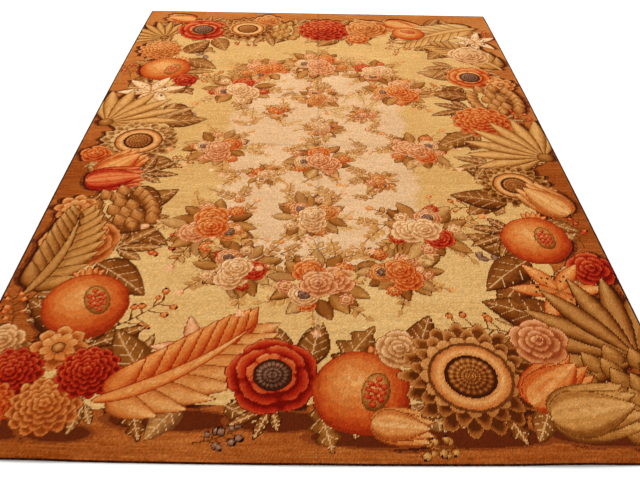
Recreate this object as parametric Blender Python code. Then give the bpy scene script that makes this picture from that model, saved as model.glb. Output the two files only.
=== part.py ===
"""A needlepoint rug lying flat: one worked cloth and the four whipped strips along its edges.

Metres, +Z up. The rug's width runs along X and its length along Y. The end at -Y is the near one.
The origin is on the floor, at the middle of the rug's outline.
"""

from math import cos, hypot, pi

import bmesh
import bpy

# The size at the corners, 6 by 9 feet
WIDTH = 1.83
LENGTH = 2.745

# How far the middle of each edge bulges past the straight line between its corners
BOW_LEFT = 0.0146
BOW_RIGHT = 0.0119
BOW_NEAR = 0.0111
BOW_FAR = 0.0

# Wool stitches on canvas with its backing, and the whipped edge round it
THICKNESS = 0.004
BINDING_WIDTH = 0.005
BINDING_HEIGHT = 0.0044
BINDING_SHOULDER = 0.0013
GAP = 0.0003

# The outline's middle is half the near bow below the corners' middle
CENTRE_SHIFT_X = (BOW_LEFT - BOW_RIGHT) / 2
CENTRE_SHIFT_Y = (BOW_NEAR - BOW_FAR) / 2

# Steps of the cloth's grid and of a strip, before the folds add their own lines
STEPS_ACROSS = 22
STEPS_ALONG = 32
STRIP_STEPS = 30

# Old storage folds, pressed into the worked face: the axis that stays constant, its place, depth, half width
FOLDS = (
    {"fixed": "x", "at": 0.0, "depth": 0.0008, "half_width": 0.011},
    {"fixed": "y", "at": 0.008, "depth": 0.0012, "half_width": 0.016},
)

# Places where the cloth stands a little off the floor: middle, half widths and height
LIFTS = (
    {"x": 0.61, "y": -1.372, "half_x": 0.17, "half_y": 0.14, "height": 0.0036},
    {"x": -0.68, "y": -1.372, "half_x": 0.16, "half_y": 0.13, "height": 0.0032},
    {"x": -0.02, "y": -1.375, "half_x": 0.13, "half_y": 0.09, "height": 0.0014},
    {"x": 0.16, "y": -0.955, "half_x": 0.42, "half_y": 0.09, "height": 0.0018},
    {"x": -0.40, "y": -0.900, "half_x": 0.26, "half_y": 0.08, "height": 0.0015},
    {"x": 0.905, "y": 0.42, "half_x": 0.10, "half_y": 0.26, "height": 0.0016},
)

CLOTH_COLOUR = (0.64, 0.40, 0.14, 1.0)
BINDING_COLOUR = (0.045, 0.016, 0.007, 1.0)


def clear_scene():
    """Remove whatever the scene holds."""
    for thing in list(bpy.data.objects):
        bpy.data.objects.remove(thing, do_unlink=True)


def make_material(name, colour, roughness):
    """A plain cloth finish."""
    material = bpy.data.materials.new(name)
    material.use_nodes = True
    shader = material.node_tree.nodes["Principled BSDF"]
    shader.inputs["Base Color"].default_value = colour
    shader.inputs["Roughness"].default_value = roughness
    shader.inputs["Metallic"].default_value = 0.0
    return material


def place(across, along, inset):
    """A point of the outline's own grid, with across and along from -1 to 1, drawn in by inset."""
    half_width = WIDTH / 2 - inset
    half_length = LENGTH / 2 - inset
    side_bow = BOW_RIGHT * across if across > 0 else BOW_LEFT * across
    end_bow = BOW_FAR * along if along > 0 else BOW_NEAR * along
    x = across * half_width + side_bow * (1 - along**2)
    y = along * half_length + end_bow * (1 - across**2)
    return x, y


def lift(x, y):
    """How high the underside stands over the floor at a point."""
    height = 0.0
    for row in LIFTS:
        reach = hypot((x - row["x"]) / row["half_x"], (y - row["y"]) / row["half_y"])
        if reach < 1:
            height += row["height"] * cos(reach * pi / 2) ** 2
    return height


def fold_depth(x, y):
    """How deep the pressed folds are at a point of the worked face."""
    depth = 0.0
    for row in FOLDS:
        away = abs((x if row["fixed"] == "x" else y) - row["at"]) / row["half_width"]
        if away < 1:
            depth = max(depth, row["depth"] * (1 - away))
    return depth


def grid_lines(steps, half, fixed):
    """Lines from -1 to 1, evenly spaced, with three more at each fold: its two shoulders and its bottom."""
    lines = [2 * i / steps - 1 for i in range(steps + 1)]
    for row in FOLDS:
        if row["fixed"] != fixed:
            continue
        own = [(row["at"] + side * row["half_width"]) / half for side in (-1, 0, 1)]
        spare = 2 * (own[2] - own[1])
        lines = [line for line in lines if abs(line - own[1]) > spare] + own
    return sorted(lines)


def add_object(name, bm, material):
    """A mesh object from a closed bmesh."""
    bmesh.ops.recalc_face_normals(bm, faces=bm.faces)
    mesh = bpy.data.meshes.new(name)
    bm.to_mesh(mesh)
    bm.free()
    mesh.materials.append(material)
    thing = bpy.data.objects.new(name, mesh)
    bpy.context.scene.collection.objects.link(thing)
    return thing


def make_cloth(material):
    """The worked cloth: a flat sheet with the pressed folds in its face and a few soft lifts."""
    inset = BINDING_WIDTH + GAP
    across = grid_lines(STEPS_ACROSS, WIDTH / 2 - inset, "x")
    along = grid_lines(STEPS_ALONG, LENGTH / 2 - inset, "y")
    bm = bmesh.new()
    layers = []
    for is_top in (False, True):
        rows = []
        for t in along:
            row = []
            for s in across:
                x, y = place(s, t, inset)
                z = lift(x, y)
                if is_top:
                    z += THICKNESS - fold_depth(x, y)
                row.append(bm.verts.new((x + CENTRE_SHIFT_X, y + CENTRE_SHIFT_Y, z)))
            rows.append(row)
        layers.append(rows)
    bottom, top = layers
    for j in range(len(along) - 1):
        for i in range(len(across) - 1):
            for rows in layers:
                bm.faces.new((rows[j][i], rows[j][i + 1], rows[j + 1][i + 1], rows[j + 1][i]))
    for j in range(len(along) - 1):
        for i in (0, -1):
            bm.faces.new((bottom[j][i], bottom[j + 1][i], top[j + 1][i], top[j][i]))
    for i in range(len(across) - 1):
        for j in (0, -1):
            bm.faces.new((bottom[j][i], bottom[j][i + 1], top[j][i + 1], top[j][i]))
    return add_object("needlepoint_cloth", bm, material)


def strip_section():
    """Points round a whipped edge: how far in from the outline, and how high."""
    foot = BINDING_SHOULDER * 0.45
    return (
        (foot, 0.0),
        (BINDING_WIDTH - foot, 0.0),
        (BINDING_WIDTH, foot),
        (BINDING_WIDTH, BINDING_HEIGHT - BINDING_SHOULDER),
        (BINDING_WIDTH - BINDING_SHOULDER, BINDING_HEIGHT),
        (BINDING_SHOULDER, BINDING_HEIGHT),
        (0.0, BINDING_HEIGHT - BINDING_SHOULDER),
        (0.0, foot),
    )


def strip_point(side, step, inset, height):
    """A point of one strip. End strips reach the corners, and side strips stop short of them."""
    s = 2 * step / STRIP_STEPS - 1
    if side in ("near", "far"):
        x, y = place(s, -1 if side == "near" else 1, 0.0)
        y += inset if side == "near" else -inset
    else:
        stop = 1 - (BINDING_WIDTH + GAP) / (LENGTH / 2)
        x, y = place(-1 if side == "left" else 1, s * stop, 0.0)
        x += inset if side == "left" else -inset
    return x + CENTRE_SHIFT_X, y + CENTRE_SHIFT_Y, height + lift(x, y)


def make_strip(side, material):
    """One whipped edge, a rounded strip that follows the outline."""
    section = strip_section()
    bm = bmesh.new()
    rings = []
    for step in range(STRIP_STEPS + 1):
        rings.append([bm.verts.new(strip_point(side, step, inset, height)) for inset, height in section])
    count = len(section)
    for near, far in zip(rings, rings[1:]):
        for i in range(count):
            j = (i + 1) % count
            bm.faces.new((near[i], near[j], far[j], far[i]))
    bm.faces.new(rings[0])
    bm.faces.new(rings[-1])
    return add_object("binding_" + side, bm, material)


def main():
    clear_scene()
    make_cloth(make_material("worked_wool", CLOTH_COLOUR, 0.92))
    for side in ("near", "far", "left", "right"):
        make_strip(side, make_material("whipped_wool_" + side, BINDING_COLOUR, 0.88))


main()
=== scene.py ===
import bpy
import numpy as np
from mathutils import Matrix


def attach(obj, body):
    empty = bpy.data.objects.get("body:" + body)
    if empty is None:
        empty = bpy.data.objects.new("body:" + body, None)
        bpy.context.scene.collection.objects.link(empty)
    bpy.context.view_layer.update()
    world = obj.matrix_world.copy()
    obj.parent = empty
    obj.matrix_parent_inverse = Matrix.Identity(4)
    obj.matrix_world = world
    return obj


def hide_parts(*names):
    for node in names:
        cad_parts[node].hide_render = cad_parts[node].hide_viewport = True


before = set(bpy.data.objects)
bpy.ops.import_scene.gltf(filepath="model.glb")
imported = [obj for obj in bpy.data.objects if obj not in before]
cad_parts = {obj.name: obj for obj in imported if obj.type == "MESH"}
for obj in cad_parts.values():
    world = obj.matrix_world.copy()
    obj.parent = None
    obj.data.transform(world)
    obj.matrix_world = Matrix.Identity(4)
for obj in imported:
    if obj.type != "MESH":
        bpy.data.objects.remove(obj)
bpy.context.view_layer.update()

# Needlework chart: one colour for each tent stitch, worked out by formula

rug = {
    "width": 1.83,  # metres between the corners
    "length": 2.745,
    "stitchesAcross": 504,  # seven to the inch
    "stitchesAlong": 756,
    "borderWidth": 0.165,  # the caramel band, before its wandering inner edge
    "borderWander": 0.035,
    "centreHalfWidth": 0.350,  # the cream middle
    "centreHalfLength": 0.70,
    "centreShift": -0.02,
    "centreRagged": 0.16,
    "centreMixed": 0.30,  # how far cream and straw stitches mix where they meet
    "seed": 11,
}

# Yarns, each shade card from dark to light
yarnCards = {
    "caramel": "843806 95440d a5521a b46024 c17130 cc8240",
    "castShadow": "431706 622408 8a3f14",
    "straw": "cf9853 d7a35e deae69 e5b875 ecc282",
    "cream": "d9ab7b e1b485 e8bd8e eec497 f3cba0",
    "poppyRed": "6e0a01 8e1203 a61e07 b62e10 c4461c d2622e de8248",
    "ember": "962806 b0360c c04a14 cb6022 d47632 de8c46 e8a460",
    "apricot": "8f3a0c ac5018 c06426 cc7634 d68844 e09c58 e9b06e",
    "gold": "582405 74340a 8c4614 a25a21 b77032 ca8544 d89856",
    "rosePink": "96401a ac5626 c06c38 d1824c df9660 eaa874 f1b886",
    "blush": "9e5c2a b6743c ca8a50 da9e64 e6b078 efbf8a f5cc9a",
    "olive": "461b03 602a06 7c3d0d 925019 a86628 bc7c3c cc9150",
    "moss": "5a2906 743b0d 8c4e17 a26124 b57534 c78843 d69a53",
    "sage": "7a431b 905626 a56a33 b87d41 c89050 d6a15f e2b170",
    "buff": "703a0e 8a4c16 a05f22 b47332 c58642 d49752 dfa661",
    "mauve": "32160a 4e2a1a 683d28 82543a 9a6c50 b48668",
    "bark": "260c02 3e1804 582708 703711 8a4c1c a2622c",
    "veinStraw": "c6925a d4a26a",
}


def toLinear(card):
    # sRGB hex shades to linear light, as rows of red, green, blue
    shades = np.array([[int(h[i:i + 2], 16) for i in (0, 2, 4)] for h in card.split()]) / 255
    return np.where(shades <= 0.04045, shades / 12.92, ((shades + 0.055) / 1.055) ** 2.4)


yarns = {name: toLinear(card) for name, card in yarnCards.items()}
pitch = rug["width"] / rug["stitchesAcross"]
chance = np.random.default_rng(rug["seed"])
gridShape = (rug["stitchesAlong"], rug["stitchesAcross"])
chartU, chartV = np.meshgrid(
    (np.arange(gridShape[1]) + 0.5) * pitch - rug["width"] / 2,
    (np.arange(gridShape[0]) + 0.5) * pitch - rug["length"] / 2,
)
grain = chance.uniform(-0.5, 0.5, gridShape)  # where two shades meet, stitches of both mix
lightTurn = np.radians(118)  # the worked light comes from the far left


def softNoise(cell, seed, rowCell=None):
    # values from -1 to 1 at points a cell apart, or rowCell apart up the rug, joined by smooth curves
    source = np.random.default_rng(seed)
    steps = (rowCell or cell, cell)
    knots = source.uniform(-1, 1, [int(n * pitch / step) + 3 for n, step in zip(gridShape, steps)])
    y, x = (np.arange(n) * pitch / step for n, step in zip(gridShape, steps))
    j, i = y.astype(int), x.astype(int)
    fy, fx = y - j, x - i
    fy, fx = (3 * fy**2 - 2 * fy**3)[:, None], (3 * fx**2 - 2 * fx**3)[None, :]
    a, b = knots[np.ix_(j, i)], knots[np.ix_(j, i + 1)]
    c, d = knots[np.ix_(j + 1, i)], knots[np.ix_(j + 1, i + 1)]
    return (a * (1 - fx) + b * fx) * (1 - fy) + (c * (1 - fx) + d * fx) * fy


wander = softNoise(0.055, 3)
ripple = softNoise(0.016, 4)
chart = {
    "colour": np.zeros(gridShape + (3,)),
    "covered": np.zeros(gridShape, bool),
    "casting": np.zeros(gridShape, bool),
    "casts": False,
    "shift": np.zeros(gridShape),  # added to every tone while it is set
}


def local(x, y, size, turn, reach=1.2):
    # the stitches round (x, y), and their places along and across a direction, in units of size
    i0, i1 = ((x + s * reach * size + rug["width"] / 2) / pitch for s in (-1, 1))
    j0, j1 = ((y + s * reach * size + rug["length"] / 2) / pitch for s in (-1, 1))
    near = (slice(max(int(j0), 0), max(int(j1) + 2, 0)), slice(max(int(i0), 0), max(int(i1) + 2, 0)))
    du, dv = chartU[near] - x, chartV[near] - y
    c, s = np.cos(np.radians(turn)), np.sin(np.radians(turn))
    return near, (du * c + dv * s) / size, (dv * c - du * s) / size


def lay(near, mask, tone, card, mix=0.7):
    # tone 0 takes the darkest shade of the card and 1 the lightest, in steps that mix at their edges
    shades = yarns[card]
    count = len(shades)
    step = np.clip((tone + chart["shift"][near]) * count + grain[near] * mix, 0, count - 0.01).astype(int)
    chart["colour"][near][mask] = shades[step[mask]]
    chart["covered"][near] |= mask
    if chart["casts"]:
        chart["casting"][near] |= mask


def towards(x, y, turn, distance):
    # the point at a distance in a direction
    return x + distance * np.cos(np.radians(turn)), y + distance * np.sin(np.radians(turn))


def onBend(x, y, turn, length, curl, t):
    # the point at t along a stem that is bent by curl * t^2
    return towards(*towards(x, y, turn, length * t), turn + 90, length * curl * t * t)


def petal(x, y, turn, length, width, card, tip=0.75, curl=0.0, base=0.25, crown=0.5, rise=0.2,
          streaks=0, lobes=0, veins=0, line=True):
    # half width = width * sin(pi * t^tip) along t from the base, bent by curl * t^2
    # the tone rises to the middle line and to the tip
    near, a, b = local(x, y, length, turn)
    t = np.clip(a, 1e-4, 0.9999)
    half = width / length * np.sin(np.pi * t**tip) ** 0.85
    if lobes:
        half = half * (1 + 0.30 * np.sin(2 * np.pi * lobes * t - 1.2))
    s = (b - curl * t * t) / np.maximum(half, 1e-4)
    mask = (a > 0) & (a < 1) & (np.abs(s) < 1)
    side = np.sin(lightTurn - np.radians(turn))  # how far the left flank faces the light
    tone = base + crown * (1 - s * s) + rise * t + 0.16 * side * s + 0.06 * ripple[near]
    if streaks:
        tone = tone - 0.13 * (np.cos(s * np.pi * streaks) < -0.35) * (t < 0.85)
    if line and width > 3.0 * pitch:
        rim = (1 - np.abs(s)) * half * length < 0.8 * pitch
        tone = np.where(rim, 0.04 + 0.16 * (width < 5 * pitch), tone)
    lay(near, mask, tone, card, 0.35)
    if veins:
        rib = np.abs(b - curl * t * t) * length < 0.55 * pitch
        climb = (a - 0.8 * np.abs(b - curl * t * t)) * veins
        twig = ((climb % 1) * length / veins < 0.9 * pitch) & (np.abs(s) < 0.78)
        lay(near, mask & (a < 0.92) & (rib | (twig & (a > 0.1))), 0.8 + 0 * a, "veinStraw")


def stalk(x, y, turn, length, curl, card, width=0.6, tone=0.35):
    # a stitched line of even width, bent by curl * t^2
    near, a, b = local(x, y, length, turn)
    mask = (a > 0) & (a < 1) & (np.abs(b - curl * a * a) * length < width * pitch)
    lay(near, mask, tone + 0.2 * a, card)


def ball(x, y, size, card, squash=1.0, turn=0.0, coreAway=0.28, low=0.05, lift=0.98, line=True):
    # nested bands round a pale core that sits towards the light
    near, a, b = local(x, y, size, turn)
    b = b / squash
    r = np.hypot(a, b) * (1 + 0.03 * wander[near])
    light = lightTurn - np.radians(turn)
    d = np.hypot(a - coreAway * np.cos(light), b - coreAway * np.sin(light))
    fade = np.clip(d / (1 + coreAway * 0.8), 0, 1)
    tone = lift - (lift - low) * (0.72 * fade**1.25 + 0.28 * r**6) + 0.07 * ripple[near]
    if line and size > 3 * pitch:
        tone = np.where((1 - r) * size < 0.8 * pitch, 0.0, tone)
    lay(near, r < 1, tone, card, 0.4)


def bloom(x, y, size, turn, card, rings, lift=0.10):
    # rings of scalloped petals, pale at each rim
    # edge = radius * (1 - notch + notch * |cos(count * angle / 2)|^sharp)
    inner = [ring[0] for ring in rings[1:]] + [0.0]
    for (radius, count, phase, notch, sharp), following in zip(rings, inner):
        drift = (1 - radius) * lift * size
        near, a, b = local(x + drift * np.cos(lightTurn), y + drift * np.sin(lightTurn), size, turn)
        r, angle = np.hypot(a, b), np.arctan2(b, a)
        wave = np.abs(np.cos(count * (angle - phase) / 2))
        edge = radius * (1 - notch + notch * wave**sharp) * (1 + 0.04 * ripple[near])
        q = r / edge
        bare = np.clip((q - following / radius) / (1 - following / radius), 0, 1)
        facing = np.cos(angle + np.radians(turn) - lightTurn)
        tone = 0.16 + 0.72 * bare**0.8 + 0.13 * facing + 0.06 * ripple[near]
        tone = tone - 0.42 * np.exp(-((wave / 0.22) ** 2)) * (0.3 + 0.7 * q)
        if size * radius > 4 * pitch:
            tone = np.where((1 - q) * edge * size < 0.7 * pitch, 0.06 + 0.2 * (radius < 0.9), tone)
        lay(near, q < 1, tone, card, 0.4)


roseRings = (
    (1.00, 5, 0.3, 0.16, 0.55), (0.82, 5, 0.9, 0.15, 0.55), (0.64, 4, 0.1, 0.14, 0.6),
    (0.47, 4, 0.8, 0.16, 0.6), (0.32, 3, 0.2, 0.18, 0.7), (0.18, 3, 1.2, 0.2, 0.8),
)
smallRoseRings = (
    (1.00, 5, 0.3, 0.20, 0.5), (0.72, 5, 0.95, 0.20, 0.55), (0.46, 4, 0.2, 0.18, 0.6), (0.24, 3, 0.8, 0.2, 0.7),
)
fullRoseFrom = 0.085  # roses of a greater radius have all six rings
starRings = ((1.00, 8, 0.0, 0.30, 0.6), (0.66, 8, 0.39, 0.28, 0.7))
poppyRings = ((1.00, 5, 0.2, 0.12, 0.5), (0.80, 4, 0.7, 0.14, 0.55), (0.55, 5, 0.2, 0.12, 0.6))
dahliaRings = (
    (1.00, 13, 0.0, 0.17, 0.7), (0.84, 13, 0.24, 0.18, 0.7), (0.67, 11, 0.1, 0.18, 0.7),
    (0.50, 9, 0.3, 0.20, 0.7), (0.34, 7, 0.1, 0.22, 0.8), (0.18, 5, 0.0, 0.24, 0.9),
)
sunRings = ((1.00, 17, 0.0, 0.26, 0.9), (0.86, 17, 0.185, 0.24, 0.9), (0.70, 17, 0.05, 0.10, 0.8))


def seedHeart(x, y, size, card, rows=9.0, rimCard="bark"):
    # a disc of seeds on two crossing sets of spirals, inside a dark rim
    near, a, b = local(x, y, size, 0)
    r, angle = np.hypot(a, b), np.arctan2(b, a)
    lay(near, r < 1, 0.3 + 0.5 * (1 - r), rimCard)
    turns = np.sqrt(np.maximum(r, 1e-4)) * rows
    seeds = np.cos(angle * 10 + turns * 2.2) * np.cos(angle * 10 - turns * 2.2)
    lay(near, r < 0.86, 0.45 + 0.38 * seeds + 0.2 * np.cos(angle - lightTurn) * r, card)


def rose(x, y, size, turn, card="rosePink"):
    bloom(x, y, size, turn, card, roseRings if size > fullRoseFrom else smallRoseRings)
    ball(x + 0.05 * size, y + 0.08 * size, 0.09 * size, card, low=0.0, lift=0.3, line=False)


def star(x, y, size, turn, card="ember", heart="gold"):
    bloom(x, y, size, turn, card, starRings)
    ball(x, y, 0.24 * size, heart)


def poppy(x, y, size, turn, card="poppyRed", heart="mauve"):
    bloom(x, y, size, turn, card, poppyRings)
    seedHeart(x, y, 0.42 * size, heart, 7.0)


def dahlia(x, y, size, turn, card="ember"):
    bloom(x, y, size, turn, card, dahliaRings)


def sunflower(x, y, size, turn, card="gold", heart="apricot", seeds="gold"):
    bloom(x, y, size, turn, card, sunRings)
    near, a, b = local(x, y, size, turn)
    r = np.hypot(a, b) * (1 + 0.02 * ripple[near])
    lay(near, r < 0.60, 0.15 + 0.5 * (r > 0.55), "bark")
    lay(near, r < 0.55, 0.95 - 0.8 * np.abs(r / 0.55 - 0.80) * 3, heart)
    seedHeart(x, y, 0.37 * size, seeds, 10.0)


def tulip(x, y, size, turn, card="ember"):
    # three petals in a cup, the middle one in front
    for swing, long_, wide in ((24, 0.94, 0.23), (-24, 0.94, 0.23), (11, 1.0, 0.20), (-11, 1.0, 0.20)):
        petal(x, y, turn + swing, size * long_, size * wide, card, tip=0.62, curl=-0.006 * swing, streaks=3)
    petal(x, y, turn, size * 0.92, size * 0.29, card, tip=0.62, base=0.32, crown=0.62, rise=0.05, streaks=4)


def lily(x, y, size, turn, card="ember"):
    # six long petals with spots near the heart, and stamens
    for k in (0, 2, 4, 1, 3, 5):
        swing = turn + 60 * k
        petal(x, y, swing, size, size * 0.19, card, tip=0.8, curl=0.10 * (-1) ** k, rise=0.3)
        for along, across in ((0.3, 0.05), (0.38, -0.06), (0.46, 0.03)):
            spotX, spotY = towards(*towards(x, y, swing, size * along), swing + 90, size * across)
            ball(spotX, spotY, 1.1 * pitch, "bark", low=0.1, lift=0.2, line=False)
    for k in range(5):
        stalk(x, y, turn + 72 * k + 20, size * 0.42, 0.1, "gold", tone=0.6)
        tipX, tipY = towards(x, y, turn + 72 * k + 20, size * 0.42)
        ball(tipX, tipY, 1.5 * pitch, "bark", low=0.1, lift=0.5, line=False)


def pomegranate(x, y, size, turn, card="poppyRed"):
    # a round body with a crown, split to show its seeds
    crownX, crownY = towards(x, y, turn, size * 0.78)
    for swing in (-46, 46, -22, 22, 0):
        petal(crownX, crownY, turn + swing, size * 0.52, size * 0.13, card, tip=0.7)
    ball(x, y, size, card, squash=0.95, turn=turn)
    splitX, splitY = towards(x, y, turn - 62, size * 0.28)
    ball(splitX, splitY, size * 0.47, "buff", squash=0.6, turn=turn + 12)
    for along in range(-2, 3):
        for across in (-1, 0, 1):
            if abs(along) + abs(across) < 3:
                seedX, seedY = towards(splitX, splitY, turn + 12, along * size * 0.155)
                seedX, seedY = towards(seedX, seedY, turn + 102, across * size * 0.135)
                ball(seedX, seedY, size * 0.075, "poppyRed", low=0.25, lift=0.9, line=False)


def artichoke(x, y, size, turn, card="moss"):
    # overlapping scales in rows, from the tip down to the base
    for row in range(7):
        up = 0.78 - row * 0.24
        span = 0.62 * np.sqrt(max(1 - (up / 1.02) ** 2, 0.05))
        count = 2 + row % 2 + (row > 1) * 1
        for k in range(count):
            across = (k - (count - 1) / 2) / max((count - 1) / 2, 1) * span
            baseX, baseY = towards(*towards(x, y, turn, size * (up - 0.24)), turn + 90, size * across)
            petal(baseX, baseY, turn + 26 * across, size * 0.52, size * 0.21, card, tip=0.66,
                  base=0.12, crown=0.45, rise=0.42)
    baseX, baseY = towards(x, y, turn, -size * 0.86)
    petal(baseX, baseY, turn, size * 0.3, size * 0.16, card, tip=0.8)


def palmFan(x, y, size, turn, card="buff", blades=9, spread=68):
    # long blades from one root, the outer ones first
    for k in sorted(range(blades), key=lambda n: -abs(n - (blades - 1) / 2)):
        swing = (k / (blades - 1) * 2 - 1) * spread
        long_ = size * (0.72 + 0.28 * np.cos(np.radians(swing)))
        petal(x, y, turn + swing, long_, size * 0.105, card, tip=1.15, curl=0.0016 * swing,
              base=0.05, crown=0.72, rise=0.22)
    ball(x, y, size * 0.10, card, low=0.0, lift=0.6)


underCards = {"buff": "sage", "olive": "moss", "moss": "olive", "ember": "apricot", "apricot": "buff"}


def acanthus(x, y, size, turn, card="buff", curl=0.35):
    # a bending rib with lobes on both sides, from the tip back to the root
    under = underCards[card]
    for k in range(8, -1, -1):
        t = 0.10 + k * 0.095
        rootX, rootY = onBend(x, y, turn, size, curl, t)
        lean = turn + np.degrees(np.arctan(2 * curl * t))
        long_ = size * (0.16 + 0.30 * np.sin(np.pi * (t * 0.9 + 0.08)))
        for side in (-1, 1):
            petal(rootX, rootY, lean + side * (58 - 30 * t), long_, size * 0.085,
                  under if side * curl < 0 else card, tip=0.6, curl=-side * 0.22, base=0.16, crown=0.5,
                  rise=0.34)
    petal(x, y, turn, size, size * 0.05, card, tip=0.6, curl=curl, base=0.5, crown=0.4, rise=0.1)


def oakLeaf(x, y, size, turn, card="olive"):
    petal(x, y, turn, size, size * 0.25, card, tip=0.72, lobes=3.5, veins=5, base=0.14, crown=0.34, rise=0.16)


def broadLeaf(x, y, size, turn, card="olive", curl=0.0):
    petal(x, y, turn, size, size * 0.30, card, tip=0.66, veins=5, base=0.16, crown=0.32, rise=0.12, curl=curl)


def leafHand(x, y, size, turn, card="olive"):
    # five leaflets from one point
    for swing, long_ in ((-74, 0.62), (74, 0.62), (-38, 0.86), (38, 0.86), (0, 1.0)):
        petal(x, y, turn + swing, size * long_, size * 0.13, card, tip=1.05, veins=6, base=0.15, crown=0.36)


def berrySpray(x, y, size, turn, card="ember", count=9, seed=0):
    # hips on short stalks along a bending stem
    pick = np.random.default_rng(seed)
    stalk(x, y, turn, size, 0.2, "olive")
    for k in range(count):
        t = 0.25 + 0.75 * k / (count - 1)
        rootX, rootY = onBend(x, y, turn, size, 0.2, t)
        swing = turn + (-1) ** k * pick.uniform(38, 75)
        stem = size * pick.uniform(0.16, 0.30)
        stalk(rootX, rootY, swing, stem, 0.1, "olive")
        hipX, hipY = towards(rootX, rootY, swing, stem)
        hip = pick.uniform(0.0105, 0.0145)
        ball(hipX, hipY, hip, card, squash=0.85, turn=swing, low=0.2)
        ball(*towards(hipX, hipY, swing, hip * 0.75), 1.1 * pitch, "bark", low=0.1, lift=0.2, line=False)


def bellSpray(x, y, size, turn, card="mauve"):
    # small bells on a bending stem
    stalk(x, y, turn, size, -0.25, "olive")
    for k, t in enumerate((0.45, 0.62, 0.78, 0.97)):
        rootX, rootY = towards(*towards(x, y, turn, size * t), turn - 90, size * 0.25 * t * t)
        for swing in (-16, 16, 0):
            petal(rootX, rootY, turn - 60 + 40 * (-1) ** k + swing, size * 0.27, size * 0.07, card, tip=0.55,
                  base=0.3, line=False)


def leafTwig(x, y, size, turn, card="olive", pairs=4, curl=0.2, bud=None):
    # paired leaflets on a bending stem, with a bud at its end
    stalk(x, y, turn, size, curl, card, tone=0.2)
    for k in range(pairs):
        t = 0.22 + 0.66 * k / pairs
        rootX, rootY = onBend(x, y, turn, size, curl, t)
        lean = turn + np.degrees(np.arctan(2 * curl * t))
        for side in (-1, 1):
            petal(rootX, rootY, lean + side * 48, size * (0.34 - 0.04 * k), size * 0.085, card, tip=0.9,
                  base=0.34 + 0.1 * (side > 0), crown=0.36, line=size > 0.12)
    endX, endY = towards(*towards(x, y, turn, size * 0.96), turn + 90, size * curl * 0.92)
    lean = turn + np.degrees(np.arctan(2 * curl))
    if bud:
        for swing in (-20, 20, 0):
            petal(endX, endY, lean + swing, size * 0.24, size * 0.065, bud, tip=0.7, base=0.3)
    else:
        petal(endX, endY, lean, size * 0.3, size * 0.075, card, tip=0.9, base=0.4, line=size > 0.12)


def posy(x, y, size, seed, flowers, leaves=("olive", "moss", "sage"), twigs=6):
    # sprays and leaves round a few small flowers, with roses in front
    pick = np.random.default_rng(seed)
    start = pick.uniform(0, 360)
    for k in range(twigs):
        turn = start + k * 360 / twigs + pick.uniform(-16, 16)
        rootX, rootY = towards(x, y, turn, size * 0.4)
        leafTwig(rootX, rootY, size * pick.uniform(0.62, 0.84), turn, leaves[k % 3], 3,
                 pick.uniform(-0.3, 0.3), (None, "rosePink", "ember")[pick.integers(3)])
    for k in range(14):
        turn = start + k * 360 / 14 + pick.uniform(-9, 9)
        rootX, rootY = towards(x, y, turn, size * pick.uniform(0.30, 0.44))
        petal(rootX, rootY, turn + pick.uniform(-26, 26), size * pick.uniform(0.42, 0.60), size * 0.15,
              leaves[k % 3], tip=0.85, base=0.02 + 0.16 * (k % 2), crown=0.36, rise=0.12)
    for k in range(5):
        turn = start + k * 72 + pick.uniform(-14, 14)
        spotX, spotY = towards(x, y, turn, size * pick.uniform(0.52, 0.66))
        star(spotX, spotY, size * pick.uniform(0.14, 0.19), turn, flowers[k % len(flowers)])
    for k, (away, big) in enumerate(((0.30, 0.36), (0.34, 0.31), (0.36, 0.28))):
        turn = start + 40 + k * 120 + pick.uniform(-18, 18)
        spotX, spotY = towards(x, y, turn, size * away)
        card = flowers[k % len(flowers)]
        (rose, rose, poppy)[k](spotX, spotY, size * big, turn, card)
    rose(x, y, size * 0.34, start, flowers[0])


def sprig(x, y, size, turn, seed, card="olive", flower="rosePink"):
    # a light spray for the open ground
    pick = np.random.default_rng(seed)
    for swing in ((-44, 36), (-30, 24))[pick.integers(2)]:
        leafTwig(x, y, size * pick.uniform(0.75, 1.0), turn + swing, card, 3, pick.uniform(-0.35, 0.35),
                 (flower, None)[pick.integers(2)])
    if pick.uniform() < 0.4:
        star(x, y, size * 0.17, turn, flower)


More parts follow.
